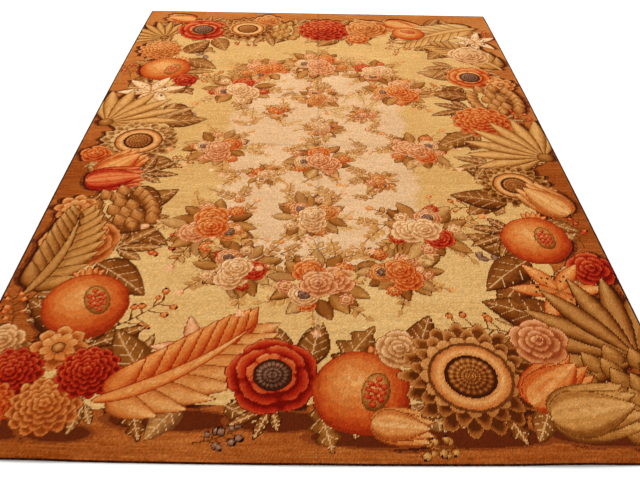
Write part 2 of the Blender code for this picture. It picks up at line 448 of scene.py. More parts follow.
# The border's main motifs: kind, place across and along, size, turn, yarn card
borderRows = (
    ("palmFan", -0.78, 1.02, 0.22, 128, "moss"), ("tulip", -0.66, 1.26, 0.17, 168, "ember"),
    ("poppy", -0.60, 1.13, 0.135, 20, "poppyRed"), ("artichoke", -0.19, 1.13, 0.125, 85, "moss"),
    ("sunflower", -0.37, 1.15, 0.145, 0, "gold"), ("rose", -0.27, 1.27, 0.075, 0, "apricot"),
    ("dahlia", 0.03, 1.15, 0.145, 0, "poppyRed"), ("rose", 0.26, 1.18, 0.120, 30, "apricot"),
    ("tulip", 0.36, 1.27, 0.20, -28, "ember"), ("star", 0.20, 1.04, 0.065, 10, "ember"),
    ("acanthus", 0.84, 1.20, 0.42, 188, "buff"), ("pomegranate", 0.47, 1.12, 0.085, 150, "ember"),
    ("lily", 0.80, 1.03, 0.125, 20, "blush"),
    ("dahlia", -0.77, 0.87, 0.110, 0, "apricot"), ("pomegranate", -0.71, 0.66, 0.120, 60, "ember"),
    ("lily", -0.73, 0.44, 0.150, 12, "blush"), ("rose", -0.60, 0.55, 0.060, 12, "poppyRed"),
    ("palmFan", -0.86, 0.16, 0.31, 42, "buff"),
    ("sunflower", -0.70, 0.02, 0.155, 8, "sage"), ("rose", -0.84, -0.08, 0.060, 0, "ember"),
    ("tulip", -0.79, -0.22, 0.21, 52, "ember"), ("tulip", -0.83, -0.26, 0.22, 12, "poppyRed"),
    ("artichoke", -0.66, -0.42, 0.135, 118, "gold"), ("star", -0.82, -0.42, 0.075, 0, "apricot"),
    ("rose", -0.76, -0.60, 0.130, 10, "apricot"), ("acanthus", -0.86, -0.84, 0.38, 62, "olive"),
    ("pomegranate", -0.67, -0.88, 0.130, 100, "ember"),
    ("acanthus", 0.87, 0.70, 0.38, 118, "moss"), ("rose", 0.74, 0.86, 0.105, 0, "blush"),
    ("poppy", 0.70, 0.62, 0.115, 40, "ember"), ("star", 0.83, 0.55, 0.070, 0, "apricot"),
    ("artichoke", 0.77, 0.40, 0.140, 100, "gold"),
    ("dahlia", 0.68, 0.21, 0.130, 0, "ember"), ("palmFan", 0.87, -0.06, 0.32, 140, "buff"),
    ("sunflower", 0.71, -0.25, 0.135, 5, "moss"), ("tulip", 0.86, -0.42, 0.22, 128, "apricot"),
    ("pomegranate", 0.71, -0.56, 0.120, 80, "ember"), ("rose", 0.85, -0.70, 0.080, 0, "poppyRed"),
    ("lily", 0.72, -0.80, 0.150, 0, "ember"),
    ("palmFan", 0.87, -1.06, 0.34, 128, "olive"), ("artichoke", 0.81, -1.17, 0.150, 112, "moss"),
    ("star", -0.70, -1.04, 0.080, 0, "apricot"), ("rose", -0.86, -1.02, 0.062, 0, "blush"),
    ("dahlia", -0.80, -1.13, 0.090, 0, "poppyRed"), ("dahlia", -0.83, -1.235, 0.080, 9, "ember"),
    ("dahlia", -0.68, -1.225, 0.095, 4, "apricot"), ("dahlia", -0.60, -1.12, 0.088, 7, "poppyRed"),
    ("lily", -0.33, -1.04, 0.130, 50, "rosePink"),
    ("acanthus", -0.57, -1.21, 0.45, 15, "ember"), ("poppy", -0.12, -1.12, 0.125, 20, "poppyRed"),
    ("pomegranate", 0.11, -1.17, 0.132, 62, "ember"), ("tulip", 0.13, -1.265, 0.16, -6, "apricot"),
    ("rose", 0.22, -1.03, 0.070, 0, "blush"),
    ("sunflower", 0.40, -1.12, 0.190, 10, "gold"), ("tulip", 0.54, -1.21, 0.22, 42, "ember"),
    ("tulip", 0.58, -1.25, 0.25, 10, "buff"), ("rose", 0.61, -1.00, 0.085, 0, "rosePink"),
)
# Large leaves that stand under the motifs: place, size, turn, yarn card
largeLeaves = (
    (-0.62, -0.98, 0.25, 158, "olive"), (-0.66, -0.98, 0.22, 96, "olive"), (-0.68, -0.70, 0.22, -32, "olive"),
    (-0.70, -0.52, 0.21, 24, "moss"), (-0.66, -0.30, 0.19, -40, "olive"), (-0.62, 0.16, 0.17, 20, "moss"),
    (-0.62, 0.76, 0.17, -25, "moss"), (-0.52, 1.02, 0.16, -60, "moss"), (0.10, 1.04, 0.15, 215, "moss"),
    (0.62, 1.00, 0.17, 205, "olive"), (0.66, 0.42, 0.18, 160, "olive"), (0.62, 0.10, 0.18, 205, "moss"),
    (0.66, -0.36, 0.20, 160, "olive"), (0.66, -0.66, 0.21, 215, "olive"), (0.70, -0.94, 0.24, 150, "olive"),
    (0.66, -0.98, 0.22, 205, "moss"), (0.25, -1.06, 0.17, 60, "olive"), (-0.02, -1.08, 0.15, 85, "moss"),
    (-0.24, -1.12, 0.16, 70, "olive"), (-0.46, -1.12, 0.18, 130, "moss"),
)
# Shadows worked on the near band, under the motifs: middle and half sizes
pools = (
    (-0.80, -1.300, 0.13, 0.034), (-0.63, -1.305, 0.10, 0.030), (-0.36, -1.262, 0.19, 0.036),
    (-0.10, -1.262, 0.15, 0.034), (0.13, -1.306, 0.18, 0.032), (0.40, -1.304, 0.20, 0.034),
    (0.72, -1.300, 0.18, 0.036),
)
# Beds of leaves under both: distance from the edge, step, sizes, and how far they turn from the edge's direction
leafBeds = (
    {"inset": 0.155, "step": 0.112, "size": (0.10, 0.14), "lean": (-38, -142, -60, -120), "seed": 17},
    {"inset": 0.275, "step": 0.104, "size": (0.13, 0.19), "lean": (62, 122, 40, 144), "seed": 18},
)
sprayRows = (
    ("berrySpray", -0.60, -0.98, 0.19, 28, "ember"), ("berrySpray", 0.58, -0.98, 0.20, 160, "ember"),
    ("bellSpray", 0.60, -0.90, 0.15, 130, "mauve"), ("berrySpray", -0.30, -1.325, 0.10, 8, "mauve"),
    ("berrySpray", 0.36, -1.335, 0.09, 172, "buff"),
    ("berrySpray", -0.62, -0.64, 0.17, 12, "poppyRed"), ("berrySpray", 0.64, -0.40, 0.17, 165, "ember"),
    ("berrySpray", -0.60, -0.16, 0.14, 20, "apricot"), ("bellSpray", 0.64, -0.66, 0.13, 190, "mauve"),
    ("berrySpray", 0.62, 0.08, 0.15, 200, "poppyRed"), ("bellSpray", -0.62, 0.30, 0.13, -20, "mauve"),
    ("berrySpray", -0.60, 0.55, 0.15, 10, "ember"), ("berrySpray", 0.60, 0.50, 0.15, 170, "ember"),
    ("berrySpray", -0.48, 1.03, 0.17, -28, "poppyRed"), ("berrySpray", 0.52, 1.02, 0.18, 208, "ember"),
    ("bellSpray", -0.62, 0.90, 0.14, -40, "mauve"), ("berrySpray", 0.84, 0.98, 0.15, 60, "poppyRed"),
    ("berrySpray", 0.86, -0.60, 0.14, 92, "poppyRed"), ("berrySpray", 0.85, 0.16, 0.13, 84, "poppyRed"),
    ("berrySpray", -0.85, 0.56, 0.13, 100, "poppyRed"), ("berrySpray", -0.85, -0.98, 0.13, 96, "ember"),
)


def alongBorder(inset, step):
    # places on a rounded line inside the edge, a step apart, with the direction that runs round the rug
    halfU, halfV = rug["width"] / 2 - inset, rug["length"] / 2 - inset
    corners = ((-halfU, -halfV, 0, 2 * halfU), (halfU, -halfV, 90, 2 * halfV),
               (halfU, halfV, 180, 2 * halfU), (-halfU, halfV, 270, 2 * halfV))
    for startX, startY, turn, side in corners:
        for k in range(int(side / step)):
            yield (*towards(startX, startY, turn, (k + 0.5) * side / int(side / step)), turn)


def workBorder():
    kinds = {f.__name__: f for f in (
        palmFan, acanthus, poppy, pomegranate, sunflower, tulip, artichoke, dahlia, rose, lily, star,
        berrySpray, bellSpray,
    )}
    chart["shift"] = -0.02 - 0.085 * np.clip(-chartV / 1.1, -0.9, 1)  # painted shade: every tone is darker towards the near end
    for kind, x, y, size, turn, card in sprayRows:
        kinds[kind](x, y, size, turn, card)
    for bed in leafBeds:
        pick = np.random.default_rng(bed["seed"])
        for k, (x, y, turn) in enumerate(alongBorder(bed["inset"], bed["step"])):
            kind = (broadLeaf, leafHand, oakLeaf, broadLeaf)[k % 4]
            lean = turn + bed["lean"][k % 4] + pick.uniform(-18, 18)
            kind(x, y, pick.uniform(*bed["size"]), lean, ("olive", "moss", "olive", "sage", "moss")[k % 5])
    chart["casts"] = True
    for x, y, size, turn, card in largeLeaves:
        broadLeaf(x, y, size, turn, card, curl=0.12 * np.sign(x))
    for kind, x, y, size, turn, card in borderRows:
        kinds[kind](x, y, size, turn, card)
    chart["casts"] = False
    chart["shift"] = np.zeros(gridShape)


# The field's posies: place, size, seed, and the cards of their flowers
ringPosies = {"count": 12, "across": 0.385, "along": 0.755, "square": 0.62, "size": 0.178, "shift": -0.02}
ringFlowers = (
    ("rosePink", "ember", "blush"), ("ember", "rosePink", "apricot"), ("blush", "poppyRed", "rosePink"),
)
innerRows = (
    (0.00, 0.40, 0.120, 6, ("apricot", "blush", "rosePink")),
    (-0.17, 0.27, 0.075, 8, ("ember", "blush")), (0.19, 0.25, 0.080, 9, ("rosePink", "apricot")),
    (0.02, 0.14, 0.095, 12, ("blush", "rosePink", "apricot")),
    (0.00, -0.10, 0.150, 5, ("rosePink", "ember", "blush")),
    (-0.20, -0.20, 0.080, 10, ("blush", "ember")), (0.22, -0.24, 0.080, 11, ("apricot", "rosePink")),
    (-0.02, -0.44, 0.145, 7, ("blush", "apricot", "rosePink")),
)
sprigs = {"seed": 27, "across": 0.28, "along": 0.63, "step": 0.158, "size": (0.095, 0.130)}


def workField():
    ring, loose = ringPosies, sprigs
    pick = np.random.default_rng(loose["seed"])
    # every tone lighter, with painted shade: darker towards the near end and lighter towards the far end
    chart["shift"] = 0.14 + 0.05 * np.clip(chartV / 0.8, -1, 1)
    for y in np.arange(-loose["along"], loose["along"] + 0.01, loose["step"]):
        for x in np.arange(-loose["across"], loose["across"] + 0.01, loose["step"]):
            turn = pick.uniform(0, 360)
            place = towards(x, y + ring["shift"], pick.uniform(0, 360), pick.uniform(0, 0.03))
            leaf = ("moss", "sage", "olive")[pick.integers(3)]
            flower = ("blush", "rosePink", "apricot")[pick.integers(3)]
            sprig(*place, pick.uniform(*loose["size"]), turn, pick.integers(1000), leaf, flower)
    for k in range(ring["count"]):
        angle = np.pi / 2 + 2 * np.pi * k / ring["count"]
        c, s = np.cos(angle), np.sin(angle)
        x = ring["across"] * np.sign(c) * abs(c) ** ring["square"]
        y = ring["shift"] + ring["along"] * np.sign(s) * abs(s) ** ring["square"]
        posy(x, y, ring["size"] * (1.0, 0.86)[k % 2], 40 + k, ringFlowers[k % 3])
    for x, y, size, seed, flowers in innerRows:
        posy(x, y, size, seed, flowers, ("moss", "sage", "olive"), 4)
    chart["shift"] = np.zeros(gridShape)


def shifted(mask, down, across):
    # the mask moved by whole stitches, with nothing coming in at the edges
    moved = np.zeros_like(mask)
    rows, cols = mask.shape
    moved[max(down, 0):rows + min(down, 0), max(across, 0):cols + min(across, 0)] = mask[
        max(-down, 0):rows + min(-down, 0), max(-across, 0):cols + min(-across, 0)]
    return moved


def workGround():
    # caramel band, straw field and cream middle, with worked shadows outside the border's motifs
    everywhere = (slice(None), slice(None))
    bare = ~chart["covered"]
    fromSide, fromEnd = rug["width"] / 2 - np.abs(chartU), rug["length"] / 2 - np.abs(chartV)
    fromEdge = np.minimum(fromSide, fromEnd)
    hanks = softNoise(0.30, 21)[:, :1] * 0.4 + softNoise(0.05, 22)[:, :1] * 0.25 + softNoise(0.12, 23) * 0.3
    # each row of the ground has its own streaks of dye, varying at random
    dyeTone = 0.5 + 0.30 * hanks + 0.15 * softNoise(0.06, 25, pitch)
    lay(everywhere, bare, dyeTone, "straw", 1.5)
    reach = (np.abs(chartU) / rug["centreHalfWidth"]) ** 3.2
    reach = reach + (np.abs(chartV - rug["centreShift"]) / rug["centreHalfLength"]) ** 5
    reach = reach + rug["centreRagged"] * (wander + 0.7 * ripple) + rug["centreMixed"] * grain
    lay(everywhere, bare & (reach < 1), dyeTone, "cream", 1.5)
    band = fromEdge < rug["borderWidth"] + rug["borderWander"] * softNoise(0.16, 24)
    # painted shade: the caramel deepens towards the near corners and the near half of both sides
    deep = 0.10 - 0.16 * np.clip(-chartV / 1.3, -1, 1)
    deep = deep - 0.30 * np.clip(np.abs(chartU) - 0.35, 0, 0.5) * (chartV < 0)
    lay(everywhere, bare & band, dyeTone + deep, "caramel", 1.5)
    atEnd = fromEnd < fromSide
    sides = (  # where, which way the shadows fall, and how many stitches the two tones reach
        (atEnd & (chartV < 0), (-1, 0), (5, 3)), (atEnd & (chartV > 0), (1, 0), (4, 2)),
        (~atEnd & (chartU < 0), (0, -1), (5, 2)), (~atEnd & (chartU > 0), (0, 1), (5, 2)),
    )
    for side, (down, across), depths in sides:
        for steps, tone in zip(depths, (0.7, 0.1)):
            cast = np.zeros(gridShape, bool)
            for k in range(1, steps + 1):
                cast |= shifted(chart["casting"], down * k, across * k)
            lay(everywhere, bare & band & side & cast, tone + 0.15 * ripple, "castShadow")
    for x, y, halfLong, halfWide in pools:
        near, a, b = local(x, y, halfLong, 0)
        r = np.hypot(a, b * halfLong / halfWide) * (1 + 0.08 * wander[near])
        lay(near, (bare & band)[near] & (r < 1), np.where(r > 0.84, 0.8, 0.42), "castShadow", 0.5)


def finishYarn():
    # every length of yarn takes the dye a little differently, and the old folds are darker: dust and painted
    # shade in the creases
    shade = 1 + 0.17 * chance.uniform(-1, 1, gridShape) + 0.045 * softNoise(0.03, 31, pitch)
    warmth = 0.05 * chance.uniform(-1, 1, gridShape) + 0.03 * softNoise(0.05, 32, pitch)
    dustAndShade = np.zeros(gridShape)
    folds = (cloth["foldX"], cloth["foldY"])
    for place, (middle, _, half), foldAmount in zip((chartU, chartV), folds, cloth["foldDustAndShade"]):
        foldDarkening = foldAmount * (1 + 0.5 * softNoise(0.09, 33))
        dustAndShade = np.maximum(dustAndShade, foldDarkening * np.exp(-(((place - middle) / (0.55 * half)) ** 2)))
    tint = np.stack((1 + 0.4 * warmth, 1 - 0.2 * warmth, 1 - 1.6 * warmth), -1)
    chart["colour"] *= (shade * (1 - dustAndShade))[..., None] * tint


# Worked cloth: four quarter panels, with one slanted face for each tent stitch

cloth = {
    "thickness": 0.004,
    "inset": 0.0039,  # the whipped edge outside the cloth
    "bows": {"left": 0.0146, "right": 0.0119, "near": 0.0111, "far": 0.0},  # how far the edges bulge
    "lifts": (  # where the cloth stands off the floor: x, y, half width, half length, height
        (0.61, -1.372, 0.17, 0.14, 0.0036), (-0.68, -1.372, 0.16, 0.13, 0.0032),
        (-0.02, -1.375, 0.13, 0.09, 0.0014), (0.16, -0.955, 0.42, 0.09, 0.0018),
        (-0.40, -0.900, 0.26, 0.08, 0.0015), (0.905, 0.42, 0.10, 0.26, 0.0016),
    ),
    "foldX": (0.0, 0.0011, 0.008),  # old folds: place, depth, half width
    "foldY": (0.008, 0.0014, 0.012),
    "foldDustAndShade": (0.20, 0.13),  # how much dust and painted shade darken each
    "cockle": 0.00030,  # soft unevenness of the worked face
    "stitchLift": 0.00010,  # each stitch stands a little higher or lower
    "backColumns": 21,
    "backRows": 27,
}
workBorder()
workField()
workGround()
finishYarn()
print("chart worked")

bows = cloth["bows"]
shiftX = (bows["left"] - bows["right"]) / 2  # brings the outline's middle to the origin
shiftY = (bows["near"] - bows["far"]) / 2


def outlinePlace(across, along, inset):
    # a straight grid drawn in by inset, whose edges bulge by bow * (1 - t^2)
    sideBow = np.where(across > 0, bows["right"], bows["left"])
    endBow = np.where(along > 0, bows["far"], bows["near"])
    x = across * (rug["width"] / 2 - inset) + sideBow * across * (1 - along**2)
    y = along * (rug["length"] / 2 - inset) + endBow * along * (1 - across**2)
    return x, y


def liftAt(x, y):
    # each raised place adds height * cos^2 from its middle to its rim
    total = np.zeros_like(x)
    for midX, midY, halfX, halfY, height in cloth["lifts"]:
        reach = np.clip(np.hypot((x - midX) / halfX, (y - midY) / halfY), 0, 1)
        total = total + height * np.cos(reach * np.pi / 2) ** 2
    return total


def foldAt(x, y):
    # rounded troughs, depth * cos^2 across each fold, the deeper one where they cross
    troughs = []
    for place, (middle, depth, half) in ((x, cloth["foldX"]), (y, cloth["foldY"])):
        troughs.append(depth * np.cos(np.clip(np.abs(place - middle) / half, 0, 1) * np.pi / 2) ** 2)
    return np.maximum(*troughs)


def cockleAt(x, y):
    # two crossing sets of long waves, bent by each other
    first = np.sin(2 * np.pi * (x / 0.34 + 0.35 * np.sin(2 * np.pi * y / 0.71)))
    second = np.sin(2 * np.pi * (y / 0.27 + 0.30 * np.sin(2 * np.pi * x / 0.53 + 1.0)))
    return cloth["cockle"] * (0.5 * first + 0.5 * second)


columns, rows = np.meshgrid(np.arange(rug["stitchesAcross"] + 1), np.arange(rug["stitchesAlong"] + 2))
flatX, flatY = outlinePlace(
    2 * columns / rug["stitchesAcross"] - 1, 2 * rows / (rug["stitchesAlong"] + 1) - 1, cloth["inset"])
backZ = liftAt(flatX, flatY)
faceZ = backZ + cloth["thickness"] - foldAt(flatX, flatY) + cockleAt(flatX, flatY)
faceZ = faceZ + cloth["stitchLift"] * chance.uniform(-1, 1, faceZ.shape)
facePoints = np.stack((flatX + shiftX, flatY + shiftY, faceZ), -1)
backPoints = np.stack((flatX + shiftX, flatY + shiftY, backZ), -1)
facePlaces = np.stack((columns, rows - 0.5), -1)  # the UV map counts stitches


def buildMesh(name, points, blocks, places, shades, slots, smooth):
    # blocks hold faces of one corner count each; places are per point, shades and slots per face
    mesh = bpy.data.meshes.new(name)
    corners = np.concatenate([block.ravel() for block in blocks]).astype(np.int32)
    sizes = np.concatenate([np.full(len(block), block.shape[1]) for block in blocks])
    mesh.vertices.add(len(points))
    mesh.vertices.foreach_set("co", points.astype(np.float32).ravel())
    mesh.loops.add(len(corners))
    mesh.loops.foreach_set("vertex_index", corners)
    mesh.polygons.add(len(sizes))
    mesh.polygons.foreach_set("loop_start", np.concatenate(([0], np.cumsum(sizes)[:-1])).astype(np.int32))
    mesh.polygons.foreach_set("material_index", slots.astype(np.int32))
    mesh.polygons.foreach_set("use_smooth", np.full(len(sizes), smooth))
    mesh.update(calc_edges=True)
    mesh.uv_layers.new(name="strands").data.foreach_set("uv", places[corners].astype(np.float32).ravel())
    opaque = np.concatenate((shades, np.ones((len(shades), 1))), 1)
    yarn = mesh.attributes.new("yarn", "FLOAT_COLOR", "FACE")
    yarn.data.foreach_set("color", opaque.astype(np.float32).ravel())
    mesh.validate()
    piece = bpy.data.objects.new(name, mesh)
    bpy.context.scene.collection.objects.link(piece)
    return piece


def wallFaces(edge, foot, knots):
    # one face from each edge of the back up to the stitches above it
    return [np.concatenate((foot[k:k + 2], edge[a:b + 1][::-1]))[None]
            for k, (a, b) in enumerate(zip(knots, knots[1:]))]


def quarterPanel(name, row0, row1, col0, col1):
    # stitch (i, j) is the quad (i, j) (i+1, j+1) (i+1, j+2) (i, j+1); triangles fill the first and last row
    part = (slice(row0, row1 + 1), slice(col0, col1 + 1))
    front = np.arange((row1 - row0 + 1) * (col1 - col0 + 1)).reshape(row1 - row0 + 1, col1 - col0 + 1)
    rowKnots = np.linspace(0, row1 - row0, cloth["backRows"] + 1).round().astype(int)
    colKnots = np.linspace(0, col1 - col0, cloth["backColumns"] + 1).round().astype(int)
    back = front.size + np.arange(len(rowKnots) * len(colKnots)).reshape(len(rowKnots), len(colKnots))
    stitches = np.stack((front[:-2, :-1], front[1:-1, 1:], front[2:, 1:], front[1:-1, :-1]), -1)
    stitches = stitches.reshape(-1, 4)
    first = np.stack((front[0, :-1], front[0, 1:], front[1, 1:]), -1)
    last = np.stack((front[-2, :-1], front[-1, 1:], front[-1, :-1]), -1)
    under = np.stack((back[:-1, :-1], back[1:, :-1], back[1:, 1:], back[:-1, 1:]), -1).reshape(-1, 4)
    walls = wallFaces(front[0], back[0], colKnots) + wallFaces(front[:, -1], back[:, -1], rowKnots)
    walls += wallFaces(front[-1, ::-1], back[-1, ::-1], (col1 - col0) - colKnots[::-1])
    walls += wallFaces(front[::-1, 0], back[::-1, 0], (row1 - row0) - rowKnots[::-1])
    knots = np.ix_(rowKnots, colKnots)
    points = np.concatenate((facePoints[part].reshape(-1, 3), backPoints[part][knots].reshape(-1, 3)))
    places = np.concatenate((facePlaces[part].reshape(-1, 2), facePlaces[part][knots].reshape(-1, 2)))
    worked = chart["colour"][:, col0:col1]
    shades = np.concatenate((
        worked[row0:row1 - 1].reshape(-1, 3), worked[max(row0 - 1, 0)],
        worked[min(row1, len(worked)) - 1], np.ones((len(under) + len(walls), 3)),
    ))
    onBack = np.arange(len(shades)) >= len(stitches) + len(first) + len(last)
    return buildMesh(name, points, [stitches, first, last, under] + walls, places, shades, onBack, False)


middleRow, middleColumn = rug["stitchesAlong"] // 2 + 1, rug["stitchesAcross"] // 2
lastRow, lastColumn = rug["stitchesAlong"] + 1, rug["stitchesAcross"]
panels = [
    quarterPanel("workedClothNearLeft", 0, middleRow, 0, middleColumn),
    quarterPanel("workedClothNearRight", 0, middleRow, middleColumn, lastColumn),
    quarterPanel("workedClothFarLeft", middleRow, lastRow, 0, middleColumn),
    quarterPanel("workedClothFarRight", middleRow, lastRow, middleColumn, lastColumn),
]
print("worked cloth made")

# Whipped edge: one strand wound round the cloth's rim, past all four corners

whipping = {
    "wrapsAcross": 504,  # on each end, one for each stitch
    "wrapsAlong": 756,  # on each side
    "steps": 4,  # rings for one wrap
    "cornerLeg": 0.0095,
    "slant": 1.1,  # wraps that the strand leans over from floor to face
    "strand": 0.00042,  # how far a strand stands out
    "uneven": 0.00022,
    "section": (  # in from the outline, and up from the floor
        (0.0010, 0.0002), (0.0001, 0.0011), (0.0002, 0.0027), (0.0011, 0.0039), (0.0026, 0.0045),
        (0.0042, 0.0046), (0.0056, 0.0039), (0.0042, 0.0026), (0.0034, 0.0002),
    ),
    "nearNarrow": 0.30,  # less wide by this share at the near end
    "middle": (0.0026, 0.0018),  # the strands swell away from here
    "shades": "210a04 2b1006 381608 471e0c",
    "seed": 5,
}


def outlinePath():
    # the four bulging edges in turn, joined at each corner by a curve (1-t)^2 A + 2t(1-t) C + t^2 B
    cutX, cutY = (whipping["cornerLeg"] / (rug[k] / 2) for k in ("width", "length"))
    s = np.linspace(-1 + cutX, 1 - cutX, whipping["wrapsAcross"] * whipping["steps"])
    t = np.linspace(-1 + cutY, 1 - cutY, whipping["wrapsAlong"] * whipping["steps"])
    sides = [np.stack(outlinePlace(*pair, 0.0), -1) for pair in (
        (s, -1 + 0 * s), (1 + 0 * t, t), (-s, 1 + 0 * s), (-1 + 0 * t, -t))]
    corners = [np.stack(outlinePlace(np.float64(a), np.float64(b), 0.0))
               for a, b in ((1, -1), (1, 1), (-1, 1), (-1, -1))]
    bend = np.linspace(0, 1, 3 * whipping["steps"] + 2)[1:-1, None]
    parts = []
    for k, (side, corner) in enumerate(zip(sides, corners)):
        start, end = side[-1], sides[(k + 1) % 4][0]
        parts += [side, (1 - bend) ** 2 * start + 2 * bend * (1 - bend) * corner + bend**2 * end]
    return np.concatenate(parts)


def whippedEdge(name):
    # the section is carried along the path and swells by strand * |sin(pi * wrap)|, each wrap leaning over
    path = outlinePath()
    rings, around = len(path), len(whipping["section"])
    ahead = np.roll(path, -1, 0) - np.roll(path, 1, 0)
    ahead /= np.linalg.norm(ahead, axis=1)[:, None]
    inward = np.stack((-ahead[:, 1], ahead[:, 0]), -1)
    inset, height = np.array(whipping["section"]).T
    outward = np.stack((inset - whipping["middle"][0], height - whipping["middle"][1]), -1)
    outward /= np.linalg.norm(outward, axis=1)[:, None]
    lean = whipping["slant"] * np.arange(around) / (around - 3)
    wrap = (np.arange(rings) / whipping["steps"])[:, None] + lean
    wraps = rings // whipping["steps"]
    pick = np.random.default_rng(whipping["seed"])
    own = pick.uniform(-1, 1, wraps)[np.floor(wrap).astype(int) % wraps]
    bulge = whipping["strand"] * np.abs(np.sin(np.pi * wrap)) ** 0.8 + whipping["uneven"] * own
    bulge = bulge * (height > 0.0005)
    width = 1 - whipping["nearNarrow"] * np.clip(inward[:, 1:], 0, 1)
    flat = path[:, None, :] + inward[:, None, :] * ((inset + outward[:, 0] * bulge) * width)[..., None]
    z = height + outward[:, 1] * bulge + liftAt(path[:, 0], path[:, 1])[:, None]
    points = np.concatenate((flat + (shiftX, shiftY), z[..., None]), -1).reshape(-1, 3)
    number = np.arange(rings * around).reshape(rings, around)
    after = np.roll(number, -1, 0)
    faces = np.stack((number, after, np.roll(after, -1, 1), np.roll(number, -1, 1)), -1).reshape(-1, 4)
    places = np.stack((wrap, np.broadcast_to(np.arange(around) / around, wrap.shape)), -1).reshape(-1, 2)
    shades = toLinear(whipping["shades"])
    tone = pick.uniform(0, len(shades), wraps).astype(int)[np.floor(wrap + 0.5).astype(int) % wraps]
    tone = tone.reshape(-1)
    return buildMesh(name, points, [faces], places, shades[tone], 0 * tone, True)


edge = whippedEdge("whippedEdge")
print("whipped edge made")

# Finishes


def plug(tree, value, socket):
    # a number or colour goes on the socket itself, and another node's output is linked to it
    if isinstance(value, bpy.types.NodeSocket):
        tree.links.new(value, socket)
    else:
        socket.default_value = value


def sums(tree, operation, *values):
    # one Math node
    node = tree.nodes.new("ShaderNodeMath")
    node.operation = operation
    for value, socket in zip(values, node.inputs):
        plug(tree, value, socket)
    return node.outputs[0]


def blendColours(tree, amount, first, second, how="MIX"):
    node = tree.nodes.new("ShaderNodeMix")
    node.data_type = "RGBA"
    node.blend_type = how
    plug(tree, amount, node.inputs[0])
    plug(tree, first, node.inputs[6])
    plug(tree, second, node.inputs[7])
    return node.outputs[2]


def newGroup(name, inputs, outputs):
    # inputs: name, kind and starting value
    group = bpy.data.node_groups.new(name, "ShaderNodeTree")
    for label, kind, start in inputs:
        socket = group.interface.new_socket(label, in_out="INPUT", socket_type=kind)
        if start is not None:
            socket.default_value = start
    for label, kind in outputs:
        group.interface.new_socket(label, in_out="OUTPUT", socket_type=kind)
    return group, group.nodes.new("NodeGroupInput").outputs, group.nodes.new("NodeGroupOutput").inputs


def strandGroup():
    # each unit of Across is one stitch of several plied strands, whose ends dip at each whole number of Along
    group, given, result = newGroup(
        "strandRelief",
        (("Along", "NodeSocketFloat", 0.0), ("Across", "NodeSocketFloat", 0.0),
         ("Strands", "NodeSocketFloat", 3.0), ("Twist", "NodeSocketFloat", 2.0),
         ("End Dip", "NodeSocketFloat", 0.5)),
        (("Height", "NodeSocketFloat"), ("Hollow", "NodeSocketFloat")),
    )
    along = sums(group, "FRACT", given["Along"])
    across = sums(group, "FRACT", given["Across"])
    side = sums(group, "ABSOLUTE", sums(group, "MULTIPLY_ADD", across, 2.0, -1.0))
    end = sums(group, "ABSOLUTE", sums(group, "MULTIPLY_ADD", along, 2.0, -1.0))
    flank = sums(group, "SUBTRACT", 1.0, sums(group, "POWER", side, 2.0))
    crown = sums(group, "SQRT", sums(group, "MAXIMUM", flank, 0.0))
    dip = sums(group, "MULTIPLY", sums(group, "POWER", end, 3.0), given["End Dip"])
    body = sums(group, "MULTIPLY", crown, sums(group, "SUBTRACT", 1.0, dip))
    strand = sums(group, "MULTIPLY", across, given["Strands"])
    ridge = sums(group, "ABSOLUTE", sums(group, "SINE", sums(group, "MULTIPLY", strand, 3.14159)))
    turns = sums(group, "MULTIPLY_ADD", along, given["Twist"], strand)
    ply = sums(group, "SINE", sums(group, "MULTIPLY", turns, 6.28318))
    body = sums(group, "MULTIPLY_ADD", ridge, 0.20, body)
    plug(group, sums(group, "MULTIPLY_ADD", ply, 0.10, body), result["Height"])
    # Hollow: where painted shade darkens the gaps between stitches and the creases between strands
    gap = sums(group, "MULTIPLY_ADD", sums(group, "POWER", end, 7.0), 0.6, sums(group, "POWER", side, 4.0))
    crease = sums(group, "MULTIPLY", sums(group, "SUBTRACT", 1.0, ridge), 0.22)
    plug(group, sums(group, "MINIMUM", sums(group, "ADD", gap, crease), 1.0), result["Hollow"])
    return group


def woolGroup():
    # loose fibres along the yarn and dust across the room: fine and broad noise on a colour
    group, given, result = newGroup(
        "woolTone",
        (("Colour", "NodeSocketColor", None), ("Yarn Place", "NodeSocketVector", None),
         ("Room Place", "NodeSocketVector", None), ("Fibre", "NodeSocketFloat", 0.16),
         ("Dust", "NodeSocketFloat", 0.05)),
        (("Colour", "NodeSocketColor"), ("Fuzz", "NodeSocketFloat")),
    )
    noises = []
    for place, scale in (("Yarn Place", 1.0), ("Room Place", 5.0)):
        noise = group.nodes.new("ShaderNodeTexNoise")
        noise.inputs["Scale"].default_value = scale
        noise.inputs["Detail"].default_value = 3.0
        plug(group, given[place], noise.inputs["Vector"])
        noises.append(sums(group, "MULTIPLY_ADD", noise.outputs[0], 2.0, -1.0))
    shade = sums(group, "MULTIPLY_ADD", noises[0], given["Fibre"], 1.0)
    shade = sums(group, "MULTIPLY_ADD", noises[1], given["Dust"], shade)
    combined = group.nodes.new("ShaderNodeCombineColor")
    for socket in combined.inputs:
        plug(group, shade, socket)
    plug(group, blendColours(group, 1.0, given["Colour"], combined.outputs[0], "MULTIPLY"), result["Colour"])
    plug(group, noises[0], result["Fuzz"])
    return group


strandRelief = strandGroup()
woolTone = woolGroup()


def placeGroup(tree, group, **values):
    node = tree.nodes.new("ShaderNodeGroup")
    node.node_tree = group
    for label, value in values.items():
        plug(tree, value, node.inputs[label.replace("_", " ")])
    return node.outputs


def newMaterial(name, roughness, specular=0.04):
    material = bpy.data.materials.new(name)
    material.use_nodes = True
    tree = material.node_tree
    shader = tree.nodes["Principled BSDF"].inputs
    shader["Roughness"].default_value = roughness
    shader["Specular IOR Level"].default_value = specular
    return material, tree, shader


